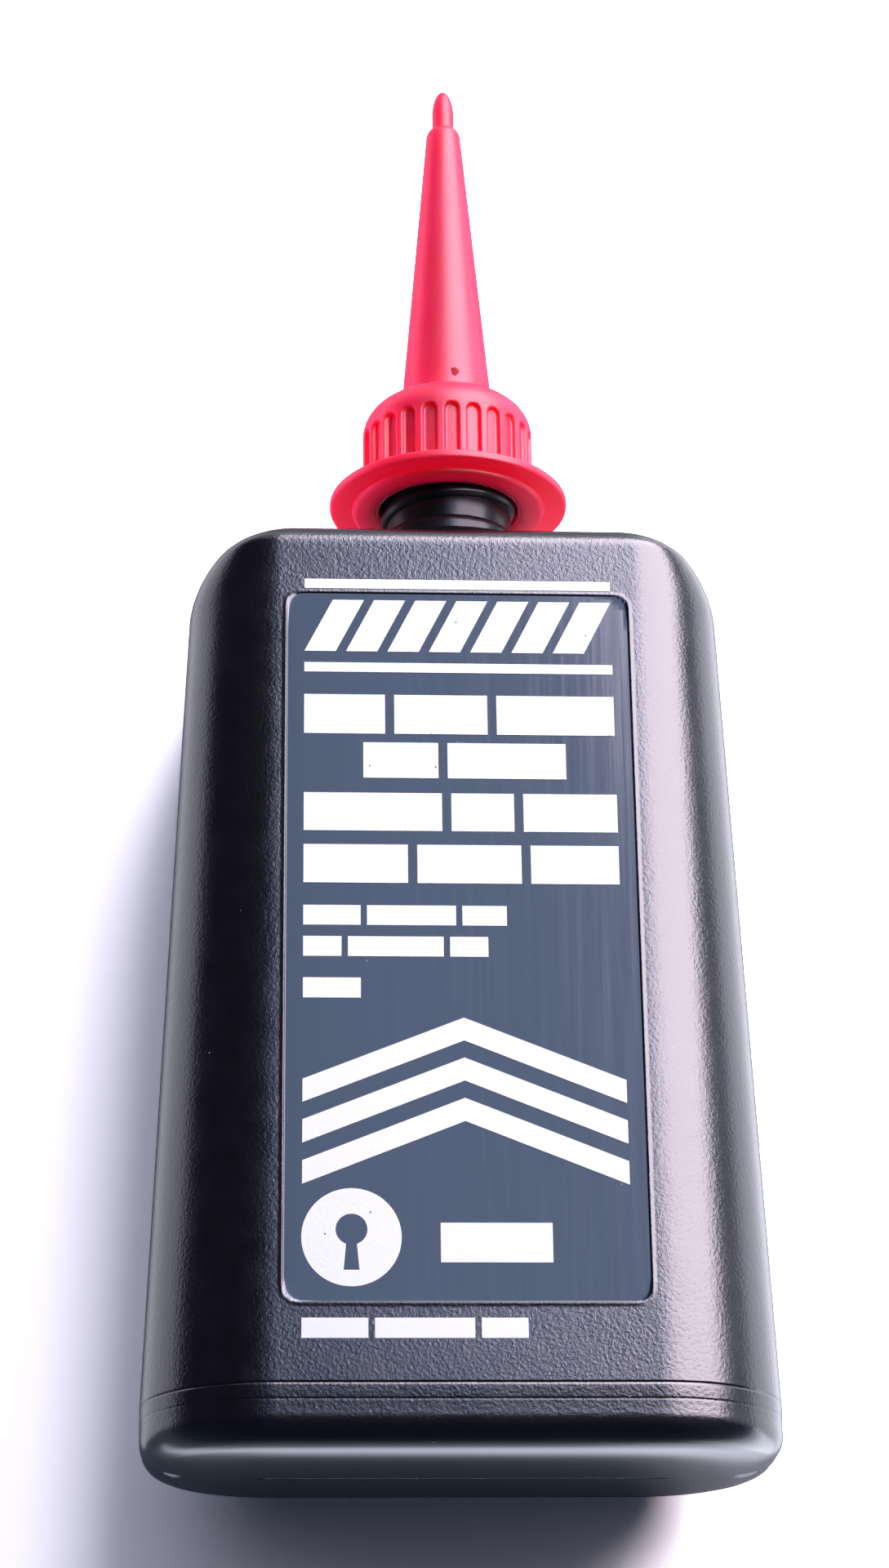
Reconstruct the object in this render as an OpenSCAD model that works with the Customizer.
// Squeeze bottle of graphite powder for locks, with a screw-on nozzle cap.
// It stands on its base: the origin is the middle of the foot, +Z runs up the neck,
// and the printed front faces -Y. All lengths are in millimetres.

/* [Bottle body] */
// Height from the foot to the edge of the shoulder
body_h = 82.6; // [60:0.2:120]
// Width at the foot, before the corners are rounded
foot_w = 54; // [46:0.5:64]
// Width at the shoulder, before the corners are rounded
shoulder_w = 47; // [40:0.5:60]
// Depth from front to back at the foot
foot_d = 27; // [24:0.5:34]
// Depth from front to back at the shoulder
shoulder_d = 25.5; // [24:0.5:32]
// Width of the flat strip down the middle of the front and back
flat_w = 31.4; // [28:0.2:34]
// Thickness of the blown wall
wall_t = 1; // [0.7:0.1:1.4]

/* [Foot] */
// Radius of the round along the foot
foot_round_r = 2.4; // [1:0.1:2.6]
// How far the flat middle of the base lies below the round along the foot
base_swell_h = 0.6; // [0.2:0.1:0.8]
// Width of the gentle slope between that round and the flat middle
base_slope_w = 6; // [3:0.5:7]
// Length of the pinch-off line along the middle of the base
scar_l = 35; // [20:1:36]
// Width of the pinch-off line
scar_w = 0.4; // [0.3:0.1:1]
// Depth of the pinch-off line
scar_t = 0.2; // [0.1:0.05:0.4]
// Height of the upper mould line above the foot
upper_line_z = 5.3; // [4.6:0.1:8]
// Height of the lower mould line above the foot
lower_line_z = 4; // [3.4:0.1:4.6]
// Width of a mould line
mould_line_w = 0.3; // [0.1:0.05:0.4]
// Depth of the upper mould line
mould_line_t = 0.1; // [0.05:0.01:0.3]

/* [Shoulder] */
// Radius of the big corners that the front view shows
shoulder_corner_r = 7; // [4:0.5:9]
// Radius of the round between the front face and the shoulder
shoulder_edge_r = 2.2; // [1.4:0.1:4]
// Rise of the shoulder from its edge to the neck
shoulder_rise = 2.4; // [1.6:0.1:5]
// Diameter of the ledge at the root of the neck
neck_root_d = 13.8; // [12.8:0.1:16]

/* [Label panel] */
// Width of the smooth panel on the front and back
panel_w = 30.2; // [26:0.2:31]
// Height of the smooth panel
panel_h = 63.7; // [45:0.1:66]
// Height of the panel's lower edge above the foot
panel_z = 11.8; // [8:0.1:14]
// Depth of the panel below the face round it
panel_t = 0.05; // [0.03:0.01:0.5]
// Corner radius of the panel
panel_r = 1.5; // [0.5:0.1:4]

/* [Neck] */
// Diameter of the neck between its threads
neck_d = 11.5; // [11.2:0.1:11.8]
// Bore of the neck
neck_bore_d = 8.6; // [6:0.1:9.2]
// Height of the neck above the shoulder
neck_h = 12.2; // [11.8:0.1:16]
// Diameter of the ring at the root of the neck
neck_ring_d = 12.7; // [12.4:0.1:13.4]
// Height of that ring above the shoulder
neck_ring_h = 1.8; // [0.8:0.1:2.4]
// Rise of the thread in one turn
thread_pitch = 3; // [2.8:0.1:3.6]
// Height of the thread ridge above the neck
thread_h = 0.6; // [0.3:0.05:0.6]
// Width of a thread ridge at its root
thread_root_w = 1.3; // [0.8:0.05:1.3]
// Width of a thread ridge at its crest
thread_crest_w = 0.6; // [0.3:0.05:0.7]
// Turns of thread on the neck
neck_thread_turns = 2.7; // [2:0.1:3]

/* [Nozzle cap] */
// Running clearance between the crests of one thread and the roots of the other
thread_gap = 0.15; // [0.1:0.01:0.2]
// Depth of the socket that takes the neck
socket_h = 8; // [7.6:0.1:11]
// Turns of thread in the socket
cap_thread_turns = 1.6; // [1:0.1:1.8]
// Diameter of the finger flange
flange_d = 22.1; // [20:0.1:30]
// Thickness of the finger flange
flange_t = 0.85; // [0.6:0.05:1.5]
// Diameter of the raised boss under the flange
boss_d = 17.8; // [16:0.1:19]
// Height of the boss under the flange
boss_h = 0.5; // [0.2:0.05:0.8]
// Diameter of the collar over its grip ribs
collar_d = 15.9; // [15.6:0.1:19]
// Height of the grip ribs above the underside of the flange
rib_top_z = 7.6; // [6:0.1:9]
// Number of grip ribs, with a round-topped groove between each two
rib_count = 24; // [12:1:32]
// Width of one grip rib
rib_w = 0.55; // [0.3:0.05:0.8]
// Depth of the grooves between the grip ribs
groove_t = 0.45; // [0.2:0.05:0.6]
// Rise of the rounded shoulder above the ribs
dome_h = 3.4; // [2:0.1:5]
// Diameter of the nozzle where it leaves the rounded shoulder
nozzle_root_d = 8.5; // [8:0.1:10]
// Diameter of the nozzle at its upper end
nozzle_end_d = 3.36; // [2.8:0.1:5]
// Height of the nozzle above the rounded shoulder
nozzle_h = 29.4; // [15:0.5:45]
// Diameter of the closed tip that is cut off for use
tip_d = 2.12; // [1.6:0.1:2.6]
// Length of the closed tip
tip_l = 5.65; // [4.2:0.05:8]
// Height of the pointed round at the end of the tip
tip_round_h = 2.8; // [1:0.1:3]
// Wall of the nozzle
nozzle_wall_t = 1.15; // [0.8:0.05:1.4]

/* [Contents and seal] */
// Thickness of the sealing disc under the cap's ceiling
seal_t = 0.8; // [0.5:0.1:1.5]
// Hole through the sealing disc
seal_hole_d = 6.4; // [4.4:0.1:7]
// Level of the powder above the foot
powder_level = 52; // [20:1:70]

/* [Print] */
// Thickness of the printed ink
ink_t = 0.06; // [0.03:0.01:0.1]
// Bare margin between the printed block and the panel's side edges
print_margin = 1.6; // [0.5:0.1:4]
// Thickness of the two long rules
rule_t = 0.9; // [0.4:0.1:1.5]
// Thickness of a chevron stripe
stripe_t = 2; // [1:0.1:3]
// Diameter of the keyhole disc
disc_d = 8.2; // [5:0.1:9]
// Diameter of the round part of the keyhole
keyhole_d = 2.6; // [1.5:0.1:3.5]

/* [Hidden] */

// Small overrun with which cuts and joints pass through a surface
overrun = 0.2;
// Gap between the powder and the wall that holds it
powder_gap = 0.3;
// Gap between the sealing disc's rim and the socket
seal_gap = 0.1;

// Steps in a quarter turn of a rounded corner, of a round seen from the side, of the base's
// slope and of the shoulder
corner_steps = 9;
round_steps = 6;
base_steps = 5;
shoulder_steps = 6;
thread_steps = 36;
fine_turn = 96;

// Part of the corner round's width that the flat strip gives up at the shoulder
flat_pull_share = 0.45;
// Power by which the base's slope steepens towards its rim
base_power = 3;
// The lower mould line is shallower than the upper one
lower_line_share = 0.5;

// Slope of the front face, which leans back because the foot is deeper than the shoulder
face_tilt = atan((foot_d - shoulder_d) / 2 / body_h);

neck_z = body_h + shoulder_rise;
neck_top_z = neck_z + neck_h;
neck_r = neck_d / 2;
neck_bore_r = neck_bore_d / 2;
neck_crest_r = neck_r + thread_h;
// The neck's tube reaches this far down through the shoulder
neck_sunk_h = wall_t + overrun;
// Plain end of the neck above its thread
neck_plain_h = 1.45;
neck_thread_z = neck_top_z - neck_plain_h - thread_root_w / 2 - neck_thread_turns * thread_pitch;

// The socket's ceiling presses the sealing disc onto the neck's rim
cap_z = neck_top_z + seal_t - socket_h;
socket_r = neck_crest_r + thread_gap;
socket_crest_r = neck_r + thread_gap;
collar_r = collar_d / 2;
flange_r = flange_d / 2;
boss_r = boss_d / 2;
// The cap's ridge starts one width above the mouth, turned so that it runs midway between the neck's
cap_thread_z = cap_z + thread_root_w;
cap_thread_a = 360 * ((cap_thread_z - neck_thread_z) / thread_pitch - 1 / 2);

dome_top_z = rib_top_z + dome_h;
nozzle_top_z = dome_top_z + nozzle_h;
tip_top_z = nozzle_top_z + tip_l;
// The nozzle's end rounds over into the tip within this height
nozzle_end_round_h = 1.15;
// The round at the nozzle's root
root_fillet_r = 0.35;
// The channel stops this far below the nozzle's end, so that the tip is closed
channel_stop_h = 1;
// The flange's rim is broken by this much
edge_break = 0.15;
// Steps and sweep of the rounded shoulder's arc, and steps of the rounds at the tip
dome_steps = 8;
dome_sweep = 80;
tip_steps = 5;
// Steps of the arch at the top of a grip groove
groove_steps = 8;
// A grip groove stops this far short of the collar's upper and lower edge
groove_margin = 0.12;
dome_inner_r = nozzle_root_d / 2 - root_fillet_r;
// The slope between the flange and the collar
collar_foot_h = 0.3;
// Diameter of the mark that the mould's gate leaves, how far it stands right of the middle,
// and how far above the rounded shoulder
gate_d = 0.8;
gate_x = 0.55;
gate_rise = 1.6;

print_w = panel_w - 2 * print_margin;
// Gap between the panel's upper edge and the rule above it
rule_gap = 0.35;
// The lower rule's upper edge, as a share of the panel's height
lower_rule_share = 0.893;
// Number of chevrons, bare gap between two of them, and rise of one as a share of the printed width
chevron_count = 3;
chevron_gap = 1.5;
chevron_rise_share = 0.2;
// Foot of the lowest chevron as a share of the panel's height
chevron_low_share = 0.155;
// Middle of the keyhole disc, as shares of the printed width and of the panel's height
disc_share = [-0.35, 0.085];
// The band under the upper rule: its foot and height as shares of the panel's height
band_low_share = 0.91;
band_height_share = 0.078;
// Slanted blocks in the band, each leaning by this share of its height, with this bare gap between
band_count = 7;
band_lean_share = 0.5;
band_gap = 0.9;

// Half of the body's width and depth at a height, straight from foot to shoulder
function half_w(z) = (foot_w + (shoulder_w - foot_w) * z / body_h) / 2;
function half_d(z) = (foot_d + (shoulder_d - foot_d) * z / body_h) / 2;

// How far a quarter round of radius r, which ends at the height top, has drawn in at z
function drawn_in(z, r, top) = z <= top - r ? 0 : r - sqrt(max(0, r * r - pow(z - (top - r), 2)));

// One rounded corner of a level section
function corner(cx, cy, rx, ry, start) =
    [for (i = [0 : corner_steps])
        let (a = start + 90 * i / corner_steps)
        [cx + rx * cos(a), cy + ry * sin(a)]];

// A level section of the body: a rectangle with rounded corners
function section(half_x, half_y, rx, ry) = concat(
    corner(half_x - rx, half_y - ry, rx, ry, 0),
    corner(rx - half_x, half_y - ry, rx, ry, 90),
    corner(rx - half_x, ry - half_y, rx, ry, 180),
    corner(half_x - rx, ry - half_y, rx, ry, 270));

// The section at a height, drawn in from the straight body by two insets
function body_section(z, inset_x, inset_y) =
    let (half_x = half_w(z) - inset_x)
    let (half_y = half_d(z) - inset_y)
    let (flat = min(flat_w / 2, half_x - wall_t) - flat_pull_share * max(0, inset_x - foot_round_r))
    let (r = half_x - flat)
    section(half_x, half_y, r, min(r, half_y));

// A circle with as many points as a section, in the same order
function round_section(r) = section(r, r, r, r);

function at_height(points, z) = [for (p = points) [p[0], p[1], z]];
function mixed(a, b, share) = [for (i = [0 : len(a) - 1]) a[i] * (1 - share) + b[i] * share];
function eased(share) = share * share * (3 - 2 * share);

// Rings of the foot: the flat middle of the base, the slope round it and the round up to the wall
base_rim_a = atan(base_power * base_swell_h / base_slope_w);
base_rim_inset = foot_round_r * (1 - sin(base_rim_a));
foot_rings = concat(
    [for (i = [0 : base_steps - 1])
        let (share = i / base_steps)
        let (inset = base_rim_inset + base_slope_w * (1 - share))
        at_height(body_section(0, inset, inset), base_swell_h * pow(share, base_power))],
    [for (i = [0 : round_steps])
        let (a = base_rim_a + (90 - base_rim_a) * i / round_steps)
        let (inset = foot_round_r * (1 - sin(a)))
        let (z = base_swell_h + foot_round_r * (cos(base_rim_a) - cos(a)))
        at_height(body_section(z, inset, inset), z)]);

// Rings of a mould line: down its upper and lower edges to its bottom
function line_rings(z, depth) =
    [for (step = [[-1 / 2, 0], [-1 / 6, 1], [1 / 6, 1], [1 / 2, 0]])
        let (ring_z = z + step[0] * mould_line_w)
        at_height(body_section(ring_z, step[1] * depth, step[1] * depth), ring_z)];

// Rings of the rounded top of the wall, for a skin that lies inset inside the outer one
function top_rings(inset) =
    [for (i = [0 : round_steps + 2])
        let (r = shoulder_corner_r - inset)
        let (top = body_h - inset)
        let (z = top - r + r * sin(90 * i / (round_steps + 2)))
        at_height(body_section(z, inset + drawn_in(z, r, top),
            inset + drawn_in(z, shoulder_edge_r - inset, top)), z)];

// Rings of the shoulder, from the rounded edge to a circle of radius r
function shoulder_rings(inset, r) =
    let (edge = top_rings(inset)[round_steps + 2])
    let (root = at_height(round_section(r), body_h - inset))
    [for (i = [1 : shoulder_steps])
        let (share = i / shoulder_steps)
        [for (p = mixed(edge, root, share)) [p[0], p[1], p[2] + shoulder_rise * eased(share)]]];

// Rings of the inner floor, which follow the foot at the wall's thickness
function floor_rings(inset) =
    let (r = max(foot_round_r - inset, overrun))
    let (floor_z = base_swell_h + inset)
    [for (i = [0 : round_steps])
        let (a = 90 * i / round_steps)
        let (z = floor_z + r * (1 - cos(a)))
        at_height(body_section(z, inset + r * (1 - sin(a)), inset + r * (1 - sin(a))), z)];

function reversed(list) = [for (i = [len(list) - 1 : -1 : 0]) list[i]];

// A closed skin through rings of equal length, wound upwards or downwards
module skin(rings) {
    n = len(rings[0]);
    last = len(rings) - 1;
    sides = [for (k = [0 : last - 1], i = [0 : n - 1])
        let (j = (i + 1) % n)
        each [[k * n + i, (k + 1) * n + j, k * n + j], [k * n + i, (k + 1) * n + i, (k + 1) * n + j]]];
    polyhedron(
        points = [for (ring = rings, p = ring) p],
        faces = concat(sides, [[for (i = [0 : n - 1]) i]], [[for (i = [n - 1 : -1 : 0]) last * n + i]]),
        convexity = 6);
}

// A thread ridge: a helix that stands out of a neck or into a socket and fades out at its ends
module thread(root_r, crest_r, first_z, first_a, turns) {
    steps = ceil(turns * thread_steps);
    fade_steps = thread_steps / 6;
    rings = [for (i = [0 : steps])
        let (a = first_a + 360 * turns * i / steps)
        let (fade = min(1, (i + 1) / fade_steps, (steps + 1 - i) / fade_steps))
        let (top_r = root_r + (crest_r - root_r) * fade)
        let (mid_z = first_z + thread_pitch * turns * i / steps)
        [for (p = [[root_r, -thread_root_w / 2], [top_r, -thread_crest_w / 2],
                   [top_r, thread_crest_w / 2], [root_r, thread_root_w / 2]])
            [p[0] * cos(a), p[0] * sin(a), mid_z + p[1]]]];
    skin(crest_r > root_r ? [for (ring = rings) reversed(ring)] : rings);
}

// The outline of a plate with round corners, from a lower left corner
module plate_outline(low_x, low_y, w, h, r) {
    translate([low_x + r, low_y]) square([w - 2 * r, h]);
    translate([low_x, low_y + r]) square([w, h - 2 * r]);
    for (x = [low_x + r, low_x + w - r], y = [low_y + r, low_y + h - r])
        translate([x, y]) circle(r = r, $fn = fine_turn);
}

// Turns a drawing so that it lies on the front face, with its y axis up the face
module on_front() {
    translate([0, -foot_d / 2, 0]) rotate([90 - face_tilt, 0, 0]) children();
}

// Cuts one label panel into the front face
module panel_cut() {
    on_front() translate([0, 0, -panel_t]) linear_extrude(panel_t + overrun)
        plate_outline(-panel_w / 2, panel_z, panel_w, panel_h, panel_r);
}

module neck() {
    translate([0, 0, neck_z - neck_sunk_h])
        cylinder(r = neck_r, h = neck_h + neck_sunk_h, $fn = fine_turn);
    translate([0, 0, neck_z - overrun])
        cylinder(d = neck_ring_d, h = neck_ring_h + overrun, $fn = fine_turn);
    thread(neck_r - overrun, neck_crest_r, neck_thread_z, 0, neck_thread_turns);
}

// Outer skin up to the neck, then back down inside to the floor
module body_shell() {
    outer = concat(
        foot_rings,
        line_rings(lower_line_z, mould_line_t * lower_line_share),
        line_rings(upper_line_z, mould_line_t),
        top_rings(0),
        shoulder_rings(0, neck_root_d / 2),
        [at_height(round_section(neck_r - overrun), neck_z)]);
    inner = concat(
        floor_rings(wall_t),
        top_rings(wall_t),
        shoulder_rings(wall_t, neck_bore_r + overrun));
    skin(concat(outer, reversed(inner)));
}

module bottle() {
    color([0.09, 0.09, 0.11]) difference() {
        union() {
            body_shell();
            neck();
        }
        translate([0, 0, neck_z - neck_sunk_h - overrun])
            cylinder(r = neck_bore_r, h = neck_h + neck_sunk_h + 2 * overrun, $fn = fine_turn);
        panel_cut();
        mirror([0, 1, 0]) panel_cut();
        translate([-scar_l / 2, -scar_w / 2, -overrun]) cube([scar_l, scar_w, scar_t + overrun]);
    }
}

module graphite_powder() {
    color([0.25, 0.25, 0.27]) skin(concat(
        floor_rings(wall_t + powder_gap),
        [at_height(body_section(powder_level, wall_t + powder_gap, wall_t + powder_gap), powder_level)]));
}

module sealing_disc() {
    color([0.95, 0.94, 0.9]) translate([0, 0, neck_top_z]) difference() {
        cylinder(r = socket_r - seal_gap, h = seal_t, $fn = fine_turn);
        translate([0, 0, -overrun]) cylinder(d = seal_hole_d, h = seal_t + 2 * overrun, $fn = fine_turn);
    }
}

// The cap's outline from the boss under the flange to the tip, as a turned profile
cap_profile = concat(
    [[0, 0], [socket_r, -boss_h / 2], [(socket_r + boss_r) / 2 - boss_h, -boss_h],
     [(socket_r + boss_r) / 2, -boss_h], [boss_r - boss_h, -boss_h / 2], [boss_r, 0],
     [flange_r - edge_break, 0], [flange_r, edge_break], [flange_r, flange_t - edge_break],
     [flange_r - edge_break, flange_t],
     [collar_r + collar_foot_h, flange_t], [collar_r, flange_t + collar_foot_h]],
    [for (i = [0 : dome_steps])
        let (a = dome_sweep * i / dome_steps)
        [dome_inner_r + (collar_r - dome_inner_r) * cos(a), rib_top_z + dome_h * sin(a)]],
    [[nozzle_root_d / 2, dome_top_z + root_fillet_r],
     [nozzle_end_d / 2, nozzle_top_z]],
    [for (i = [1 : tip_steps])
        let (a = 90 * i / tip_steps)
        [nozzle_end_d / 2 - (nozzle_end_d - tip_d) / 2 * (1 - cos(a)),
         nozzle_top_z + nozzle_end_round_h * sin(a)]],
    [for (i = [0 : tip_steps])
        let (a = 90 * i / tip_steps)
        [tip_d / 2 * cos(a), tip_top_z - tip_round_h * (1 - sin(a))]]);

// Cuts the grooves that leave the grip ribs standing, each with a round top
module grip_grooves() {
    half = (PI * collar_d / rib_count - rib_w) / 2;
    low_z = flange_t + collar_foot_h + groove_margin;
    mid_z = rib_top_z - groove_margin - half;
    arch = [for (i = [0 : groove_steps])
        let (a = 180 * i / groove_steps)
        [half * cos(a), mid_z + half * sin(a)]];
    outline = concat([[-half, low_z], [half, low_z]], arch);
    for (i = [0 : rib_count - 1])
        rotate([0, 0, 360 * i / rib_count]) translate([collar_r - groove_t, 0, 0])
            rotate([90, 0, 90]) linear_extrude(2 * groove_t) polygon(outline);
}

module socket_and_channel() {
    translate([0, 0, -boss_h - overrun])
        cylinder(r = socket_r, h = socket_h + boss_h + overrun, $fn = fine_turn);
    translate([0, 0, socket_h - overrun]) cylinder(
        r1 = nozzle_root_d / 2 - nozzle_wall_t + overrun,
        r2 = nozzle_end_d / 2 - nozzle_wall_t,
        h = nozzle_top_z - channel_stop_h - socket_h + overrun, $fn = fine_turn);
}

// Mark where the plastic entered the mould, on the front of the nozzle's root
module gate_mark() {
    translate([gate_x, 0, dome_top_z + gate_rise]) rotate([90, 0, 0])
        cylinder(d = gate_d, h = nozzle_root_d / 2, $fn = fine_turn);
}

module nozzle_cap() {
    color([0.9, 0.06, 0.13]) translate([0, 0, cap_z]) {
        difference() {
            union() {
                rotate_extrude($fn = fine_turn) polygon(cap_profile);
                gate_mark();
            }
            grip_grooves();
            socket_and_channel();
        }
        thread(socket_r + overrun, socket_crest_r, cap_thread_z - cap_z, cap_thread_a, cap_thread_turns);
    }
}

// One drawing of ink, on the panel's floor or on the face round it
module ink(depth) {
    color([0.95, 0.95, 0.97]) on_front() translate([0, 0, -depth]) linear_extrude(ink_t) children();
}

// Bars stand in rows: each row has its height and thickness as shares of the panel's height,
// then the start and length of each bar as shares of the printed width
row_shares = [
    [0.787, 0.058, [[0, 0.26], [0.29, 0.3], [0.62, 0.38]]],
    [0.722, 0.052, [[0.19, 0.24], [0.46, 0.38]]],
    [0.645, 0.055, [[0, 0.44], [0.47, 0.2], [0.7, 0.3]]],
    [0.570, 0.055, [[0, 0.33], [0.36, 0.33], [0.72, 0.28]]],
    [0.510, 0.028, [[0, 0.18], [0.2, 0.28], [0.5, 0.14]]],
    [0.466, 0.028, [[0, 0.12], [0.14, 0.3], [0.46, 0.12]]],
    [0.408, 0.028, [[0, 0.18]]],
    [0.052, 0.052, [[0.42, 0.34]]]];
// The caption below the panel is one row on the outer face
caption_share = [-0.046, 0.026, [[0, 0.2], [0.22, 0.3], [0.54, 0.14]]];

module bar_row(row) {
    for (bar = row[2])
        translate([(bar[0] - 1 / 2) * print_w, panel_z + row[0] * panel_h])
            square([bar[1] * print_w, row[1] * panel_h]);
}

// Slanted blocks side by side over the printed width
module slanted_band() {
    h = band_height_share * panel_h;
    lean = band_lean_share * h;
    block_w = (print_w - lean - (band_count - 1) * band_gap) / band_count;
    for (i = [0 : band_count - 1])
        translate([i * (block_w + band_gap) - print_w / 2, panel_z + band_low_share * panel_h])
            polygon([[0, 0], [block_w, 0], [block_w + lean, h], [lean, h]]);
}

module print_bars() {
    ink(panel_t) {
        slanted_band();
        for (row = row_shares) bar_row(row);
    }
    ink(0) bar_row(caption_share);
}

// One rule above the panel on the outer face, and one inside it under the first bar
module print_rules() {
    ink(0) translate([-print_w / 2, panel_z + panel_h + rule_gap]) square([print_w, rule_t]);
    ink(panel_t) translate([-print_w / 2, panel_z + lower_rule_share * panel_h - rule_t])
        square([print_w, rule_t]);
}

// Nested chevrons across the printed width
module print_chevrons() {
    half = print_w / 2;
    rise = chevron_rise_share * print_w;
    ink(panel_t) for (i = [0 : chevron_count - 1])
        translate([0, panel_z + chevron_low_share * panel_h + i * (stripe_t + chevron_gap)])
            polygon([[-half, 0], [0, rise], [half, 0],
                [half, stripe_t], [0, rise + stripe_t], [-half, stripe_t]]);
}

// A disc with a bare keyhole in it: a round eye over a slot that widens downwards
module print_keyhole() {
    eye_y = keyhole_d / 4;
    slot_w = keyhole_d / 2;
    ink(panel_t) translate([disc_share[0] * print_w, panel_z + disc_share[1] * panel_h]) difference() {
        circle(d = disc_d, $fn = fine_turn);
        translate([0, eye_y]) circle(d = keyhole_d, $fn = fine_turn);
        polygon([[-slot_w / 4, eye_y], [slot_w / 4, eye_y],
            [slot_w / 2, -disc_d / 3], [-slot_w / 2, -disc_d / 3]]);
    }
}

bottle();
graphite_powder();
sealing_disc();
nozzle_cap();
print_rules();
print_bars();
print_chevrons();
print_keyhole();
